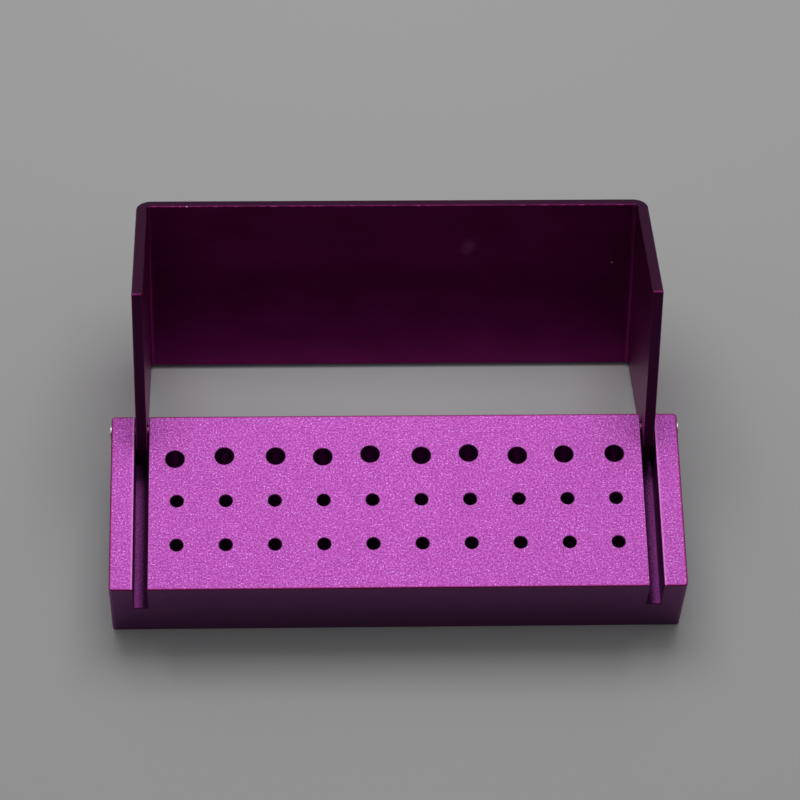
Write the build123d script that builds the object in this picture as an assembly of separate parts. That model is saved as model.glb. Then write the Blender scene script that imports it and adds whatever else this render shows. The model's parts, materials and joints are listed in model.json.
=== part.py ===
from build123d import *
import os
from math import acos, atan2, cos, degrees, hypot, radians, sin, tan

# Bur block: an anodised aluminium bar with blind holes for bur shanks, and a folded cover
# whose two arms swing in slots on a hinge pin at each end. Millimetres.
# X runs along the block, Y to the rear, Z up. The origin is the centre of the block's base.
# The cover is modelled fully open, leaning back with its lower edge on the table.

# Block
block_length = 75.0
block_depth = 25.4
block_height = 12.0
block_corner_radius = 0.5
block_edge_chamfer = 0.1

# Bur holes: one row for latch shanks at the rear, two rows for friction-grip shanks in front
hole_columns = 10
column_pitch = 6.4
rear_row_inset = 6.05
rear_row_pitch = 6.5
front_row_pitch = 6.4
latch_shank = 2.35
friction_grip_shank = 1.6
shank_play = 0.15
hole_depth = 8.5
hole_mouth_chamfer = 0.08
drill_point_angle = 118.0
# The rear row was drilled by eye: how far each hole is off its place, along X and Y
rear_row_wander = (
    (-0.30, -0.30),
    (-0.20, 0.10),
    (0.15, 0.05),
    (-0.05, -0.10),
    (-0.20, 0.25),
    (0.15, 0.00),
    (0.00, 0.30),
    (0.05, -0.10),
    (-0.20, 0.05),
    (0.10, 0.10),
)

# Folded cover: a web with an arm at each end
sheet_thickness = 1.4
sheet_edge_chamfer = 0.12
bend_inside_radius = 0.6
cover_headroom = 17.0
cover_end_inset = 0.1
arm_side_play = 0.22
arm_below_pin = 3.85
arm_floor_play = 0.15
arm_heel_radius = 1.2
arm_toe_radius = 0.35

# Hinge: a pin at each end, pressed through the cheek into the middle of the block.
# Under each pin the slot has a round relief, in which the arm's heel swings.
cheek_thickness = 3.1
heel_relief_radius = 4.9
pin_radius = 1.0
metal_over_pin = 0.5
metal_behind_pin = 0.5
pin_grip = 3.0
pin_stand_out = 0.45
pin_dome_height = 0.3
pin_tip_chamfer = 0.2
pin_seat_play = 0.01
pin_seat_chamfer = 0.05
pin_running_play = 0.05
pin_hole_spare = 0.3

# Places that follow from the sizes above
slot_width = sheet_thickness + 2 * arm_side_play
slot_outer_x = block_length / 2 - cheek_thickness
slot_inner_x = slot_outer_x - slot_width
pin_inset = pin_radius + metal_behind_pin
pin_drop = pin_radius + metal_over_pin
slot_depth = pin_drop + arm_below_pin + arm_floor_play
pivot_y = block_depth / 2 - pin_inset
pivot_z = block_height - pin_drop
cover_width = 2 * (slot_outer_x - arm_side_play)
arm_behind_pin = pin_inset - cover_end_inset
arm_before_pin = block_depth - pin_inset - cover_end_inset
web_over_pin = pin_drop + cover_headroom + sheet_thickness
bend_outside_radius = bend_inside_radius + sheet_thickness

# How far the cover swings back from closed until the chamfered rear edge of its web meets the table
lean_reach = hypot(arm_behind_pin, web_over_pin - sheet_edge_chamfer)
lean_start = atan2(arm_behind_pin, web_over_pin - sheet_edge_chamfer)
open_angle = degrees(acos(-pivot_z / lean_reach) - lean_start)


def hole_cutter(radius, depth, mouth_chamfer):
    """A drill's path below z = 0: chamfered mouth, straight wall and the cone of the drill's point."""
    tip = depth + radius / tan(radians(drill_point_angle / 2))
    profile = Polyline(
        (0, mouth_chamfer),
        (radius + 2 * mouth_chamfer, mouth_chamfer),
        (radius, -mouth_chamfer),
        (radius, -depth),
        (0, -tip),
        close=True,
    )
    return revolve(Plane.XZ * make_face(profile), Axis.Z)


def bur_hole_places():
    """Each hole's x, y and radius, column by column from the left."""
    latch_radius = (latch_shank + shank_play) / 2
    friction_grip_radius = (friction_grip_shank + shank_play) / 2
    rear_y = block_depth / 2 - rear_row_inset
    middle_y = rear_y - rear_row_pitch
    front_y = middle_y - front_row_pitch
    places = []
    for column in range(hole_columns):
        x = (column - (hole_columns - 1) / 2) * column_pitch
        off_x, off_y = rear_row_wander[column % len(rear_row_wander)]
        places.append((x + off_x, rear_y + off_y, latch_radius))
        places.append((x, middle_y, friction_grip_radius))
        places.append((x, front_y, friction_grip_radius))
    return places


def pin_place(side):
    """Where a hinge pin crosses the block's end face, with Z pointing out of that face."""
    return Plane(origin=(side * block_length / 2, pivot_y, pivot_z), z_dir=(side, 0, 0))


def make_block():
    body = Box(block_length, block_depth, block_height, align=(Align.CENTER, Align.CENTER, Align.MIN))
    body = fillet(body.edges().filter_by(Axis.Z), block_corner_radius)
    slot = Box(slot_width, block_depth, slot_depth, align=(Align.CENTER, Align.CENTER, Align.MAX))
    heel_relief = Cylinder(heel_relief_radius, slot_width, rotation=(0, 90, 0))
    slot_x = (slot_outer_x + slot_inner_x) / 2
    for side in (-1, 1):
        body -= Pos(side * slot_x, 0, block_height) * slot
    body = chamfer(body.edges().filter_by(is_block_rim), block_edge_chamfer)
    for side in (-1, 1):
        body -= Pos(side * slot_x, pivot_y, pivot_z) * heel_relief
    for x, y, radius in bur_hole_places():
        body -= Pos(x, y, block_height) * hole_cutter(radius, hole_depth, hole_mouth_chamfer)
    seat_depth = cheek_thickness + slot_width + pin_grip + pin_hole_spare
    for side in (-1, 1):
        body -= pin_place(side) * hole_cutter(pin_radius + pin_seat_play, seat_depth, pin_seat_chamfer)
    return body


def is_block_rim(edge):
    """True for the sharp outer edges: round the top and the base, and down the slots' open ends."""
    middle = edge.center()
    on_top_or_base = min(abs(middle.Z), abs(middle.Z - block_height)) < block_edge_chamfer
    at_slot_end = abs(abs(middle.Y) - block_depth / 2) < block_edge_chamfer and (
        slot_inner_x - block_edge_chamfer < abs(middle.X) < slot_outer_x + block_edge_chamfer
    )
    return on_top_or_base or at_slot_end


def make_cover():
    """The closed cover with the hinge axis on X, then swung back to its open place."""
    outside = cover_width / 2
    inside = outside - sheet_thickness
    outline = make_face(
        Polyline(
            (-outside, -arm_below_pin),
            (-outside, web_over_pin),
            (outside, web_over_pin),
            (outside, -arm_below_pin),
            (inside, -arm_below_pin),
            (inside, web_over_pin - sheet_thickness),
            (-inside, web_over_pin - sheet_thickness),
            (-inside, -arm_below_pin),
            close=True,
        )
    )
    outline = fillet(outline.vertices().group_by(Axis.Y)[-1], bend_outside_radius)
    inner_corners = [corner for corner in outline.vertices() if is_inner_corner(corner)]
    outline = fillet(inner_corners, bend_inside_radius)
    cover = Pos(0, arm_behind_pin, 0) * extrude(Plane.XZ * outline, arm_behind_pin + arm_before_pin)
    cover = fillet(arm_end_edges(cover).group_by(Axis.Y)[-1], arm_heel_radius)
    cover = fillet(arm_end_edges(cover).group_by(Axis.Y)[0], arm_toe_radius)
    cover = chamfer(sheet_rim(cover), sheet_edge_chamfer)
    cover -= Cylinder(pin_radius + pin_running_play, cover_width, rotation=(0, 90, 0))
    return Pos(0, pivot_y, pivot_z) * Rot(-open_angle, 0, 0) * cover


def is_inner_corner(corner):
    """True for the outline's two corners where the inside of an arm meets the underside of the web."""
    return abs(corner.Y - web_over_pin + sheet_thickness) < sheet_edge_chamfer


def arm_end_edges(cover):
    """The lowest edges that run through the sheet, at the free ends of the arms."""
    return cover.edges().filter_by(Axis.X).group_by(Axis.Z)[0]


def sheet_rim(cover):
    """The sheet's sharp edges, without the seams where a bend or a rounded arm end begins."""
    bend_seams = cover.edges().filter_by(Axis.Y).filter_by(lambda edge: edge.center().Z > 0)
    end_seams = cover.edges().filter_by(Axis.X).filter_by(lambda edge: edge.length < 2 * sheet_thickness)
    seams = bend_seams + end_seams
    return [edge for edge in cover.edges() if edge not in seams]


def make_pin(side):
    """A dome-headed pin along X, its tip in the block and its dome just outside the end face."""
    tip = -(cheek_thickness + slot_width + pin_grip)
    shoulder = pin_stand_out - pin_dome_height
    dome_radius = (pin_radius**2 + pin_dome_height**2) / (2 * pin_dome_height)
    half_arc = (pin_radius / dome_radius) / 2
    arc_middle = (dome_radius * sin(half_arc), pin_stand_out - dome_radius * (1 - cos(half_arc)))
    profile = make_face(
        Polyline(
            (0, pin_stand_out),
            (0, tip),
            (pin_radius - pin_tip_chamfer, tip),
            (pin_radius, tip + pin_tip_chamfer),
            (pin_radius, shoulder),
        )
        + ThreePointArc((pin_radius, shoulder), arc_middle, (0, pin_stand_out))
    )
    return pin_place(side) * revolve(Plane.XZ * profile, Axis.Z)


parts = {
    "block": make_block(),
    "cover": make_cover(),
    "left_hinge_pin": make_pin(-1),
    "right_hinge_pin": make_pin(1),
}

os.makedirs("parts", exist_ok=True)
for name, solid in parts.items():
    export_step(solid, f"parts/{name}.step")
    box = solid.bounding_box()
    print(name, "volume", round(solid.volume, 1), "from", box.min, "to", box.max)
print("cover opens", round(open_angle, 2), "degrees")
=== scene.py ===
# %% [markdown]
# A dental bur block, open on a table. It is an anodised aluminium bar, bead blasted, with blind
# holes for bur shanks, and a folded sheet cover that swings on two steel pins. The CAD solids
# already have its true shape, so this lesson keeps them as they are. It gives its time to the
# three metal finishes, the light that shows them, and a camera at the picture's viewing angle.

# %% Load the CAD model
import json
from math import cos, radians, sin, tau

import bpy
from mathutils import Matrix, Vector


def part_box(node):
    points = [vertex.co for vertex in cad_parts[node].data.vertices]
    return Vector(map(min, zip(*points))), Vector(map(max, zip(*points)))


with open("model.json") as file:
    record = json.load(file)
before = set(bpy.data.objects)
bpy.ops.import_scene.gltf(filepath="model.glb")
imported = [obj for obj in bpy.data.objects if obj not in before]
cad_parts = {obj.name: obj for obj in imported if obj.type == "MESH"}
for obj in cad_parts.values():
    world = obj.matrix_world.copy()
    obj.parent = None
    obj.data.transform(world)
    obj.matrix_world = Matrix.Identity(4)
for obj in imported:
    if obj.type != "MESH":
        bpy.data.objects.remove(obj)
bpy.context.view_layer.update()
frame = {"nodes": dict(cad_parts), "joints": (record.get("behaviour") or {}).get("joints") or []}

nodes = frame["nodes"]
print("CAD nodes:", sorted(nodes))

# %% [markdown]
# The camera. The picture was taken with a long lens from nearly half a metre away, looking down at
# the open block from the front. The eye stands a little left of the middle and turns a few degrees
# to the right, so the block's sides spread unevenly. A camera could be aimed at a target, but that
# can't roll it. So its three directions are worked out from its angles. They, its place and its
# lens were fitted to the block's corners and holes in the picture.

# %% Camera
frame_width_px = 800
focal_length_px = 3475.9
sensor_width_mm = 36.0
eye_place = Vector((-0.015901, -0.206342, 0.417827))
look_down = radians(61.3255)
turn = radians(4.2994)
roll = radians(3.3884)

gaze = Vector((sin(turn) * cos(look_down), cos(turn) * cos(look_down), -sin(look_down)))
level_right = Vector((cos(turn), -sin(turn), 0.0))
level_up = level_right.cross(gaze)
camera_right = level_right * cos(roll) + level_up * sin(roll)
camera_up = level_up * cos(roll) - level_right * sin(roll)

camera_data = bpy.data.cameras.new("camera")
camera_data.sensor_width = sensor_width_mm
camera_data.lens = focal_length_px / frame_width_px * sensor_width_mm
camera = bpy.data.objects.new("camera", camera_data)
bpy.context.collection.objects.link(camera)
turned = Matrix((camera_right, camera_up, -gaze)).transposed()
camera.matrix_world = Matrix.Translation(eye_place) @ turned.to_4x4()
bpy.context.scene.camera = camera
print("camera: lens %.1f mm, %.0f mm away" % (camera_data.lens, 1000 * eye_place.length))

# %% [markdown]
# The table is a plain pale sheet. It could curve up behind the block as a backdrop does, but the
# picture looks steeply down and shows no horizon, so a flat plane is enough. It is large enough
# that its edge is never seen, and matt, so that it doesn't mirror the lamp.

# %% Table
table_size = 6.0
table_colour = (0.46, 0.46, 0.465, 1.0)
table_roughness = 0.8
table_gloss = 0.2

bpy.ops.mesh.primitive_plane_add(size=table_size)
table = bpy.context.object
table.name = "table"
table_paint = bpy.data.materials.new("table_paint")
table_paint.use_nodes = True
table_shader = table_paint.node_tree.nodes["Principled BSDF"]
table_shader.inputs["Base Color"].default_value = table_colour
table_shader.inputs["Roughness"].default_value = table_roughness
table_shader.inputs["Specular IOR Level"].default_value = table_gloss
table.data.materials.append(table_paint)
print("table:", table_size, "m wide")

# %% [markdown]
# From here on, the light and the finishes are chains of nodes. Wired by hand, each node takes
# four or five lines, and they hide what the chain is for. So one helper fills a socket, with a
# plain value or with another node's output, and a second one adds a node of any kind and fills
# its sockets by name.


# %% Node helpers
def fill(socket, value):
    """Set a socket to a plain value or colour, or link another node's output to it."""
    if isinstance(value, bpy.types.NodeSocket):
        socket.id_data.links.new(value, socket)
    elif socket.type == "RGBA":
        socket.default_value = (*value, 1.0)
    else:
        socket.default_value = value


def add_node(tree, kind, settings=None, **values):
    """Add a node with these settings, and fill its sockets by name, with _ for a space."""
    node = tree.nodes.new(kind)
    for name, setting in (settings or {}).items():
        setattr(node, name, setting)
    for name, value in values.items():
        fill(node.inputs[name.replace("_", " ")], value)
    return node


print("node helpers ready")

# %% [markdown]
# A colour ramp turns a number into a colour: it passes through a few stops, and mixes the two that
# the number lies between. The light's greys and the metals' dyes can all be made from one, where a
# chain of Mix nodes would need a node for each pair of stops.


# %% Colour ramps
def shades(amount, stops, interpolation="LINEAR"):
    """A colour ramp: amount picks a colour, and stops are (position, colour)."""
    node = add_node(amount.id_data, "ShaderNodeValToRGB", Fac=amount)
    ramp = node.color_ramp
    ramp.interpolation = interpolation
    while len(ramp.elements) < len(stops):
        ramp.elements.new(0.5)
    for element, (position, colour) in zip(ramp.elements, stops):
        element.position = position
        element.color = (*colour, 1.0)
    return node.outputs["Color"]


print("ramp helper ready")

# %% [markdown]
# The light. The picture's shadows are short and soft on all sides, and deepest in front, so most of
# the light falls from above and a little behind, with a dim room on the viewer's side. A ring of
# lamps could give that, but each would leave its own edge or hot spot in the metal. A world whose
# brightness depends on direction has neither. It compares each direction with the brightest one,
# which gives 1 towards it and -1 away from it, and a colour ramp turns that into a grey.

# %% Glow
glow_way = Vector((0.0, 0.35, 0.937))
glow_stops = ((0.46, 0.018), (0.68, 0.050), (0.83, 0.28), (0.96, 0.66))
facing_away = -1.0

bpy.context.scene.view_settings.view_transform = "Standard"
room = bpy.data.worlds.new("room")
room.use_nodes = True
direction = add_node(room.node_tree, "ShaderNodeTexCoord").outputs["Generated"]
facing = add_node(room.node_tree, "ShaderNodeVectorMath", {"operation": "DOT_PRODUCT"})
fill(facing.inputs[0], direction)
fill(facing.inputs[1], glow_way)
to_share = add_node(
    room.node_tree, "ShaderNodeMapRange", Value=facing.outputs["Value"], From_Min=facing_away
)
greys = [(position, (grey, grey, grey)) for position, grey in glow_stops]
glow = shades(to_share.outputs["Result"], greys, "EASE")
fill(room.node_tree.nodes["Background"].inputs["Color"], glow)
bpy.context.scene.world = room
print("glow: brightest towards", tuple(round(part, 2) for part in glow_way))

# %% [markdown]
# The slots tell the rest: their floors are lit on the side away from the block's middle. So one
# softbox hangs quite near, over the middle of the block, where its rays lean outwards at the two
# ends. A strong lamp far away couldn't do that, because its rays would be parallel.

# %% Softbox
softbox_place = Vector((0.0, 0.14, 0.29))
softbox_size = (0.24, 0.15)
softbox_power = 0.405

softbox_data = bpy.data.lights.new("softbox", "AREA")
softbox_data.shape = "RECTANGLE"
softbox_data.size, softbox_data.size_y = softbox_size
softbox_data.energy = softbox_power
softbox = bpy.data.objects.new("softbox", softbox_data)
softbox.visible_camera = False
bpy.context.collection.objects.link(softbox)
aim = softbox_place.to_track_quat("Z", "Y").to_matrix().to_4x4()
softbox.matrix_world = Matrix.Translation(softbox_place) @ aim
print("softbox:", softbox_size, "m,", round(softbox_place.length, 2), "m away")

# %% [markdown]
# Patterns on the metal. A painted picture could show the grain of a finish, but it would need an
# unwrapped surface and leave seams. The CAD meshes are in metres, with the origin under the
# block's middle, and keep those coordinates when the hinge moves. So a node that reads object
# coordinates knows where on the metal it is, and noise made there is fixed to the metal, has no
# seams, and stays sharp however near the eye comes.


# %% Places and grain
def spot_on(material, stretch=None):
    """The place on the metal, in metres. A stretch under 1 draws a pattern out along that axis."""
    place = add_node(material.node_tree, "ShaderNodeTexCoord").outputs["Object"]
    if stretch is None:
        return place
    mapping = add_node(material.node_tree, "ShaderNodeMapping", Vector=place, Scale=stretch)
    return mapping.outputs["Vector"]


def grain(material, size, detail, stretch=None):
    """Noise whose lumps are about size metres across."""
    place = spot_on(material, stretch)
    noise = add_node(
        material.node_tree, "ShaderNodeTexNoise", Vector=place, Scale=1.0 / size, Detail=detail
    )
    return noise.outputs["Fac"]


print("grain helpers ready")

# %% [markdown]
# Shares. A spark, a mark or an edge covers part of the metal and ends within a short way, so it is
# a share: a number that is 0 off the mark and 1 on it, with a smooth rise between. Two colours are
# then mixed by that share. An image mask could do the same, but here the share is worked out at
# every spot, so the mark has its real size and place.


# %% Shares and blends
def step_up(value, start, end):
    """0 at start and 1 at end, with a smooth rise between them. Start may be the higher one."""
    node = add_node(
        value.id_data,
        "ShaderNodeMapRange",
        {"interpolation_type": "SMOOTHSTEP"},
        Value=value,
        From_Min=start,
        From_Max=end,
    )
    return node.outputs["Result"]


def blend(share, first, second, kind="MIX"):
    """Two colours mixed by a share from 0 to 1, or by another kind of the Mix node."""
    values = (share, first, second)
    linked = next(value for value in values if isinstance(value, bpy.types.NodeSocket))
    node = add_node(linked.id_data, "ShaderNodeMix", {"data_type": "RGBA", "blend_type": kind})
    sockets = [socket for socket in node.inputs if socket.enabled]
    for socket, value in zip(sockets, values):
        fill(socket, value)
    return next(socket for socket in node.outputs if socket.enabled)


def tint(colour, shade):
    """One colour times another."""
    return blend(1.0, colour, shade, "MULTIPLY")


print("share helpers ready")

# %% [markdown]
# The block's top. The bar is blasted with glass beads before it is dyed, so its top is a field of
# tiny dents, each about a fifth of a millimetre wide. Some catch the light and sparkle, and that
# glint is a painted highlight in a paler, bluish pink; some stay dark. Fine noise stands for the
# dents, a finer one picks the few where a glint is painted, and a coarse one dulls the dye in
# clouds.

# %% Blasted top
dent_size, spark_size, cloud_size = 0.00024, 0.00019, 0.0018
dent_detail, spark_detail, cloud_detail = 1.5, 0.0, 3.0
dull_dent, plain_dent, bright_dent = 0.38, 0.50, 0.62
dent_dyes = (
    (dull_dent, (0.35, 0.060, 0.345)),
    (plain_dent, (0.46, 0.091, 0.45)),
    (bright_dent, (0.58, 0.142, 0.57)),
)
first_spark, full_spark = 0.66, 0.81
painted_glint_colour = (0.80, 0.40, 0.86)
cloud_shades = ((0.35, (0.95, 0.93, 0.95)), (0.65, (1.0, 1.0, 1.0)))

blasted = bpy.data.materials.new("blasted_anodised")
blasted.use_nodes = True
dents = grain(blasted, dent_size, dent_detail)
sparks = grain(blasted, spark_size, spark_detail)
clouds = grain(blasted, cloud_size, cloud_detail)
top_dye = shades(dents, dent_dyes)
# painted highlight: glints in a paler, bluish pink on the few spots the fine noise picks
top_dye = blend(step_up(sparks, first_spark, full_spark), top_dye, painted_glint_colour)
top_dye = tint(top_dye, shades(clouds, cloud_shades))
print("block: dents %.2f mm wide" % (1000 * dent_size))

# %% [markdown]
# Which part a spot is on. The bar's sides, slots and holes look different from its top. Each could
# have a material of its own, but the solid is one mesh with one material. Every spot knows its
# place, though, so a few sums give a share for each part. Shares combine as in logic: the product
# is 1 only where all of them are, and the largest is 1 where any of them is.


# %% Sums
def work_out(operation, first, *others):
    """A sum on sockets and numbers, from left to right, with a Math node for each step."""
    for other in others or (None,):
        node = add_node(first.id_data, "ShaderNodeMath", {"operation": operation})
        fill(node.inputs[0], first)
        if other is not None:
            fill(node.inputs[1], other)
        first = node.outputs["Value"]
    return first


def all_of(*shares):
    """1 where every share is 1. A plain number among them is the strength of the result."""
    return work_out("MULTIPLY", *shares)


def any_of(*shares):
    """1 where at least one share is 1."""
    return work_out("MAXIMUM", *shares)


print("sum helpers ready")

# %% [markdown]
# Bands and coordinates. A band, such as the width of a slot, is a rise at one end times a fall at
# the other. The block's parts lie along x, y and z, so a place is taken apart into them. The
# block's two halves are alike, so one sum serves both when it starts from the middle.


# %% Bands and coordinates
def within(value, low, high, soft):
    """1 between low and high, fading out over soft on both sides of each."""
    return all_of(
        step_up(value, low - soft, low + soft), step_up(value, high + soft, high - soft)
    )


def apart(place):
    """A place's x, y and z as three sockets."""
    outputs = add_node(place.id_data, "ShaderNodeSeparateXYZ", Vector=place).outputs
    return outputs["X"], outputs["Y"], outputs["Z"]


x, y, z = apart(spot_on(blasted))
from_middle = work_out("ABSOLUTE", x)
from_centre_line = work_out("ABSOLUTE", y)
print("block: x and y are read as distances from the middle")

# %% [markdown]
# The block's sizes. Sizes could be typed in again, but then they would go wrong when the CAD model
# changes, so what the frame gives is read from it: the hinge's axis, and the block's box. The
# origin lies under the block's middle, so the box's highest corner is half the length, half the
# depth and the height. The slots aren't in the frame, and their sizes are the CAD model's.

# %% Sizes of the block
block_half_length, block_half_depth, block_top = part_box("block")[1]
hinge = frame["joints"][0]
pin_axis_y, pin_axis_z = hinge["pos_m"][1:]
slot_inner, slot_outer, slot_floor = 0.03256, 0.03440, 0.0065
relief_radius = 0.0049
print("block: %.1f mm long" % (2000 * block_half_length))
print("block: slots %.2f mm wide" % (1000 * (slot_outer - slot_inner)))

# %% [markdown]
# The slots. Each is a straight cut with a flat floor, and under its pin the floor drops into a
# round relief for the cover's heel. The relief is found by its distance from the hinge's axis. A
# share ends a hair off the real face, so that a spot on the face falls clearly on one side.

# %% Slots and reliefs
hair = 0.00002


def from_pin_axis(y, z):
    """How far a spot is from the hinge's axis."""
    across = work_out("POWER", work_out("SUBTRACT", y, pin_axis_y), 2.0)
    up = work_out("POWER", work_out("SUBTRACT", z, pin_axis_z), 2.0)
    return work_out("SQRT", work_out("ADD", across, up))


below_top = step_up(z, block_top - hair / 2, block_top - 2 * hair)
above_floor = step_up(z, slot_floor - 2 * hair, slot_floor - hair)
under_floor = step_up(z, slot_floor - hair / 2, slot_floor - 2 * hair)
in_relief = step_up(from_pin_axis(y, z), relief_radius + 2 * hair, relief_radius + hair)
between_cheeks = within(from_middle, slot_inner, slot_outer, hair / 2)
in_slot = all_of(between_cheeks, below_top, any_of(in_relief, above_floor))
relief_shade_share = all_of(in_slot, under_floor)
print("block: slots %.1f mm deep" % (1000 * (block_top - slot_floor)))

# %% [markdown]
# The holes. A spot below the top is on a hole's wall when it is neither on a side, nor in a slot,
# nor on the base, so the holes needn't be found one by one. The drill left their walls smooth. The
# small chamfers at their mouths catch the light, and that is a painted highlight: a paler ring.

# %% Holes
wall_dye, painted_mouth_highlight = (0.46, 0.095, 0.45), (0.85, 0.42, 0.85)
mouth_foot, mouth_rim = block_top - 6 * hair, block_top - 4 * hair

inside_slots = step_up(from_middle, slot_inner - hair, slot_inner - 4 * hair)
inside_faces = step_up(
    from_centre_line, block_half_depth - 5 * hair, block_half_depth - 10 * hair
)
above_base = step_up(z, hair, 5 * hair)
in_hole = all_of(inside_slots, inside_faces, below_top, above_base)
# painted highlight: a paler ring at each hole's mouth chamfer
hole_dye_and_highlight = blend(step_up(z, mouth_foot, mouth_rim), wall_dye, painted_mouth_highlight)
print("block: hole mouths %.2f mm deep" % (1000 * (block_top - mouth_foot)))

# %% [markdown]
# The colour below the top. The sides got less of the blast and are a calm satin, and their colour
# is painted far darker than the top's, as shade. The slots' floors and walls carry painted light
# and
# shade: nearly black on the inner side, towards the bar's middle, and lighter on the outer side.
# The relief under each pin is painted dark, as shade. The parts' colours are laid over one another
# by their shares, so each needs to be right only in its place.

# %% Colour, painted shade and painted light of the sides, slots and holes
painted_floor_shade_colour, painted_floor_light_colour = (0.034, 0.006, 0.032), (0.36, 0.072, 0.35)
painted_relief_shade_colour = (0.055, 0.009, 0.050)
floor_light_start, floor_light_full = slot_inner + 0.0004, slot_outer - 0.0001
painted_side_shade_dyes = ((0.30, (0.165, 0.035, 0.155)), (0.70, (0.185, 0.040, 0.175)))
dent_shades = ((dull_dent, (0.55, 0.50, 0.55)), (bright_dent, (1.0, 1.0, 1.0)))

# painted light and shade in the slots: dark on the inner side, lighter on the outer side
painted_floor_light_share = step_up(from_middle, floor_light_start, floor_light_full)
floor_grain_and_painted_light = blend(painted_floor_light_share, painted_floor_shade_colour, painted_floor_light_colour)
floor_grain_and_painted_light = tint(floor_grain_and_painted_light, shades(dents, dent_shades))
# painted shade: the sides take a colour far darker than the top's
dye = blend(in_slot, shades(clouds, painted_side_shade_dyes), floor_grain_and_painted_light)
# painted shade: the relief under each pin is painted nearly black
dye = blend(relief_shade_share, dye, painted_relief_shade_colour)
dye = blend(in_hole, dye, hole_dye_and_highlight)
print("block: sides, slots and holes dyed")

# %% [markdown]
# Uneven lines. Along an edge the finish changes, but never in a ruled line. An edge could be masked
# by a bevel or by paint, but these are straight, so a distance from the middle finds them, and a
# slow noise added to that distance moves the line in and out by some hundredths of a millimetre.

# %% Uneven lines
wobble, wobble_size, wobble_detail = 0.00009, 0.0006, 2.0


def level(share, low, high):
    """A plain number that goes from low to high as the share goes from 0 to 1."""
    node = add_node(share.id_data, "ShaderNodeMapRange", Value=share, To_Min=low, To_Max=high)
    return node.outputs["Result"]


edge_wobble = level(grain(blasted, wobble_size, wobble_detail), -wobble, wobble)
wobbly_length = work_out("ADD", from_middle, edge_wobble)
wobbly_depth = work_out("ADD", from_centre_line, edge_wobble)
print("block: edges move by up to %.2f mm" % (1000 * wobble))

# %% [markdown]
# Edges. Where the top breaks over its small chamfer, a darker, redder pink band is painted along
# its uneven edges as the chamfer's reflection, and along the slots the edges of the outer cheeks
# carry a painted highlight. Both are thin bands of another colour. The redder one belongs to the
# top and its chamfer, so it is mixed into them first. Then the top is laid over the other parts,
# and the painted highlights are laid over the top.

# %% Edges
painted_edge_reflection, painted_chamfer_reflection, painted_cheek_highlight = (0.30, 0.022, 0.15), (0.36, 0.030, 0.18), (0.72, 0.25, 0.66)
edge_strength, cheek_highlight_strength = 0.85, 0.55
edge_start, edge_full = 0.00028, 0.00016
chamfer_foot = 0.00014
highlight_inside, highlight_outside, highlight_soft = 0.0001, 0.00032, 0.00009

at_edge = any_of(
    step_up(wobbly_length, block_half_length - edge_start, block_half_length - edge_full),
    step_up(wobbly_depth, block_half_depth - edge_start, block_half_depth - edge_full),
)
top_share = step_up(z, block_top - 2 * hair, block_top - hair / 2)
on_chamfer = within(z, block_top - chamfer_foot, block_top - hair, hair)
cheek_highlight_share = within(wobbly_length, slot_outer - highlight_inside, slot_outer + highlight_outside, highlight_soft)
# painted reflection: a darker, redder band along the top's edges and on the chamfer
top_dye = blend(all_of(at_edge, edge_strength), top_dye, painted_edge_reflection)
dye = blend(all_of(on_chamfer, at_edge), dye, painted_chamfer_reflection)
dye = blend(top_share, dye, top_dye)
# painted highlight: a pale line along the outer cheek's edge at each slot
dye = blend(all_of(cheek_highlight_share, top_share, cheek_highlight_strength), dye, painted_cheek_highlight)
print("block: edges %.2f mm wide" % (1000 * edge_start))

# %% [markdown]
# The shader. All three finishes end alike: bare metal with a colour, a roughness and a relief that
# is too fine to model. A bump node bends the light as such a relief would, at no cost in faces. So
# one helper fills the shader's sockets, once a finish has worked out what goes into them.


# %% Shader
def make_metal(material, dye, roughness, height, bump_strength=1.0, bump_distance=1.0):
    """Fill the material's shader as bare metal, with a bump over its surface."""
    bump = add_node(
        material.node_tree,
        "ShaderNodeBump",
        Strength=bump_strength,
        Distance=bump_distance,
        Height=height,
    )
    shader = material.node_tree.nodes["Principled BSDF"]
    fill(shader.inputs["Base Color"], dye)
    fill(shader.inputs["Metallic"], 1.0)
    fill(shader.inputs["Roughness"], roughness)
    fill(shader.inputs["Normal"], bump.outputs["Normal"])


print("shader helper ready")

# %% [markdown]
# The block's gloss and relief. The blast left the top the most matt and the deepest dented, and the
# sides smoother. The same shares as for the dye make the slots rougher and the drilled holes
# smoother. The bump's height is in metres, so the dents are about as deep as real ones: a
# hundredth of a millimetre on the top.

# %% Roughness and dents
side_roughness, top_roughness = 0.42, 0.60
slot_adds, hole_takes = 0.16, 0.08
side_dent_depth, top_dent_depth = 0.000004, 0.000022
slot_dents = 0.7

roughness = level(top_share, side_roughness, top_roughness)
roughness = work_out("ADD", roughness, level(in_slot, 0.0, slot_adds))
roughness = work_out("SUBTRACT", roughness, level(in_hole, 0.0, hole_takes))
blasted_share = any_of(top_share, all_of(in_slot, slot_dents))
dent_height = work_out("MULTIPLY", dents, level(blasted_share, side_dent_depth, top_dent_depth))
make_metal(blasted, dye, roughness, dent_height)
nodes["block"].material_slots[0].material = blasted
print("block: roughness", side_roughness, "to", top_roughness)

# %% [markdown]
# The cover's sheet. It is smoother than the bar, so it mirrors the dim room in front of it and
# looks almost black where the block looks bright. It isn't even: the rolled sheet has faint long
# clouds and a fine grain. Noise that is drawn out along the sheet's length gives the clouds.

# %% Sheet colour
sheet_cloud_size, sheet_cloud_detail, along_the_sheet = 0.004, 3.0, (0.5, 1.0, 1.0)
sheet_grain_size, sheet_grain_detail = 0.00035, 2.0
sheet_dyes = ((0.30, (0.205, 0.012, 0.120)), (0.70, (0.260, 0.018, 0.155)))
sheet_grain_shades = ((0.30, (0.92, 0.92, 0.92)), (0.70, (1.0, 1.0, 1.0)))

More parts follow.
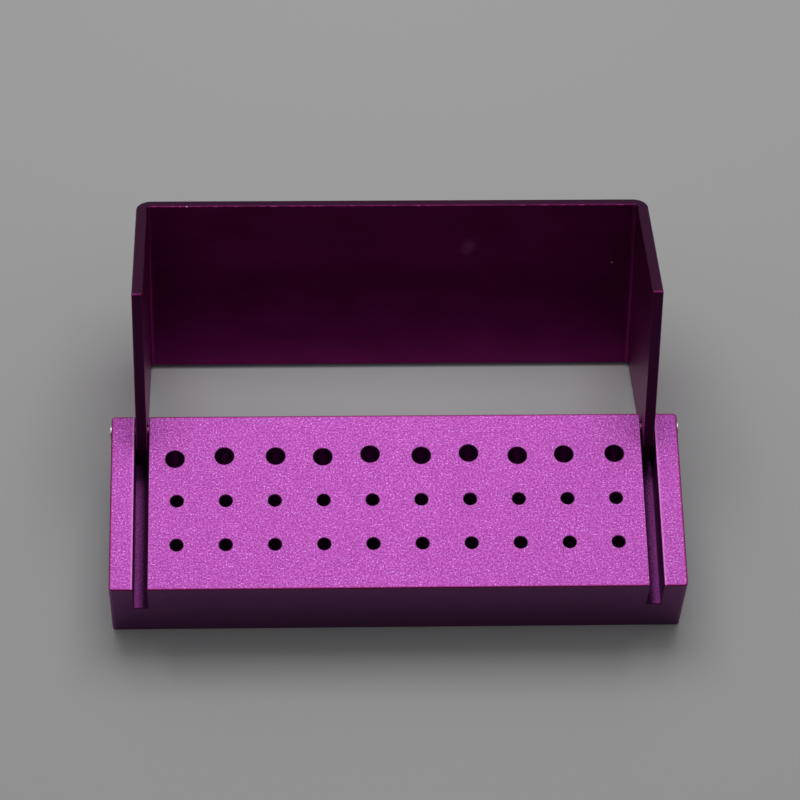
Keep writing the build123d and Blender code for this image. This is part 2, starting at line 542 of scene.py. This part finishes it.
satin = bpy.data.materials.new("satin_anodised")
satin.use_nodes = True
sheet_clouds = grain(satin, sheet_cloud_size, sheet_cloud_detail, along_the_sheet)
fine = grain(satin, sheet_grain_size, sheet_grain_detail)
dye = tint(shades(sheet_clouds, sheet_dyes), shades(fine, sheet_grain_shades))
print("cover: clouds %.0f mm long" % (1000 * sheet_cloud_size / along_the_sheet[0]))

# %% [markdown]
# Marks. A mark could be a small patch laid on the sheet, but a patch would stand out from it. So
# a mark is the part of the metal within a small ball round a point on the sheet. Noise added to the
# distance from that point makes its rim ragged.

# %% Marks
ragged_size, ragged_detail = 0.001, 3.0
solid_part = 0.6


def mark_at(centre, radius, ragged):
    """The share of a soft, ball-shaped mark round a point, its rim moved by up to ragged."""
    distance = add_node(satin.node_tree, "ShaderNodeVectorMath", {"operation": "DISTANCE"})
    fill(distance.inputs[0], spot_on(satin))
    fill(distance.inputs[1], centre)
    uneven = level(grain(satin, ragged_size, ragged_detail), -ragged, ragged)
    from_centre = work_out("ADD", distance.outputs["Value"], uneven)
    return step_up(from_centre, radius, radius * solid_part)


print("marks: solid in the inner %.0f %% of their radius" % (100 * solid_part))

# %% [markdown]
# The sheet's own marks. Handling has left one pale smudge on the inside of the web, and a nick and
# two specks of bare metal show near the edges. Each is mixed into the sheet's colour in turn.

# %% Smudge, nick and specks
smudge_place, smudge_radius = (0.01015, 0.034295, 0.017772), 0.0022
smudge_dye, smudge_strength, smudge_ragged = (0.50, 0.20, 0.42), 0.50, 0.0005
bare_dye, bare_ragged = (0.85, 0.62, 0.72), 0.00006
bare_specks = (
    ((0.02980, 0.03444, 0.01485), 0.00022),
    ((-0.02744, 0.03868, 0.02283), 0.00017),
    ((-0.02116, 0.03887, 0.02320), 0.00014),
)

smudge = mark_at(smudge_place, smudge_radius, smudge_ragged)
dye = blend(all_of(smudge, smudge_strength), dye, smudge_dye)
for centre, radius in bare_specks:
    dye = blend(mark_at(centre, radius, bare_ragged), dye, bare_dye)
print("cover: one smudge and", len(bare_specks), "bare marks")

# %% [markdown]
# The cover squared up. The cover stands open in the model, and its cut edges slant. So its
# coordinates are first turned back about the hinge to where the sheet is square. There an edge is
# a plain number: how far behind the pins it lies, or how far above them.

# %% Closed coordinates
open_angle = radians(hinge["range_deg"][1])
arm_end, front_end, back_end = -0.00385, -0.0238, 0.0014

turned_back = add_node(
    satin.node_tree,
    "ShaderNodeVectorRotate",
    {"rotation_type": "X_AXIS"},
    Vector=spot_on(satin),
    Center=hinge["pos_m"],
    Angle=open_angle,
)
_, y, z = apart(turned_back.outputs["Vector"])
behind_pins = work_out("SUBTRACT", y, pin_axis_y)
above_pins = work_out("SUBTRACT", z, pin_axis_z)
print("cover: turned back by", hinge["range_deg"][1], "degrees")

# %% [markdown]
# Cut and worn edges. The sheet's colour is painted darker towards its front edge, as shade, and
# paler towards the rear. The front edge has been handled most: the dye there is worn in dull and
# bright flecks. Where the sheet was cut, at the front, the back and the ends of the arms, the metal
# is duller. Each of these is a share again, so they are laid over the sheet's colour in the same
# way as the block's parts.

# %% Edges of the sheet
pale_from = -0.008
cut_dye = (0.105, 0.016, 0.080)
wear_size, wear_detail = 0.0006, 3.0
wear_shades = ((0.42, (0.40, 0.42, 0.42)), (0.60, (0.95, 0.90, 0.90)), (0.72, (2.2, 3.5, 2.6)))
painted_front_to_rear_shade = ((0.0, (0.74, 0.72, 0.72)), (1.0, (1.12, 1.05, 1.18)))

# painted shade: the sheet darker towards its front edge and paler towards the rear
painted_front_shade_share = step_up(behind_pins, front_end, pale_from)
dye = tint(dye, shades(painted_front_shade_share, painted_front_to_rear_shade))
at_front_edge = step_up(behind_pins, front_end + 8 * hair, front_end + 6 * hair)
worn_shade = shades(grain(satin, wear_size, wear_detail), wear_shades)
dye = blend(at_front_edge, dye, tint(dye, worn_shade))
cut_edge = any_of(
    step_up(behind_pins, front_end + 3 * hair, front_end + hair),
    step_up(behind_pins, back_end - 3 * hair, back_end - hair),
    step_up(above_pins, arm_end + 3 * hair, arm_end + hair),
)
dye = blend(cut_edge, dye, cut_dye)
print("cover: %.1f mm of sheet from cut to cut" % (1000 * (back_end - front_end)))

# %% [markdown]
# The sheet's gloss. The anodised sheet is satin: it blurs what it mirrors, and the clouds of its
# colour are a little rougher too. Its grain is so shallow that a weak bump is enough.

# %% Satin gloss
smooth_sheet, rough_sheet = 0.40, 0.46
grain_strength, grain_depth = 0.12, 0.00003

make_metal(
    satin, dye, level(sheet_clouds, smooth_sheet, rough_sheet), fine, grain_strength, grain_depth
)
nodes["cover"].material_slots[0].material = satin
print("cover: roughness", smooth_sheet, "to", rough_sheet)

# %% [markdown]
# The hinge pins are bright steel with domed heads, turned on a lathe, and the tool leaves rings
# round the axis. Modelled rings would be too fine to see, so a wave over the distance from the axis
# makes them in the bump, and a little noise keeps the steel from being even. The stretch inside
# the block is painted a dark, reddish brown: painted shade, and a painted reflection of the purple
# walls beside the arm.

# %% Pin finish
ring_pitch, ring_strength, ring_depth = 0.00009, 0.2, 0.00001
stain_size, stain_detail = 0.0004, 3.0
bright_from, hidden_from = 0.0365, 0.0355
steel_colours = ((0.30, (0.66, 0.64, 0.60)), (0.65, (0.86, 0.85, 0.81)))
painted_shade_and_reflection_colour = (0.30, 0.13, 0.16)
smooth_steel, rough_steel = 0.34, 0.48

bright = bpy.data.materials.new("bright_steel")
bright.use_nodes = True
x, y, z = apart(spot_on(bright))
rings = work_out("SINE", work_out("MULTIPLY", from_pin_axis(y, z), tau / ring_pitch))
stain = grain(bright, stain_size, stain_detail)
painted_stretch_share = step_up(work_out("ABSOLUTE", x), bright_from, hidden_from)
# painted shade and reflection: the stretch inside the block in a dark, reddish brown
steel = blend(painted_stretch_share, shades(stain, steel_colours), painted_shade_and_reflection_colour)
steel_roughness = level(stain, smooth_steel, rough_steel)
make_metal(bright, steel, steel_roughness, rings, ring_strength, ring_depth)
for pin in ("left_hinge_pin", "right_hinge_pin"):
    nodes[pin].material_slots[0].material = bright
print("pins: rings %.2f mm apart" % (1000 * ring_pitch))
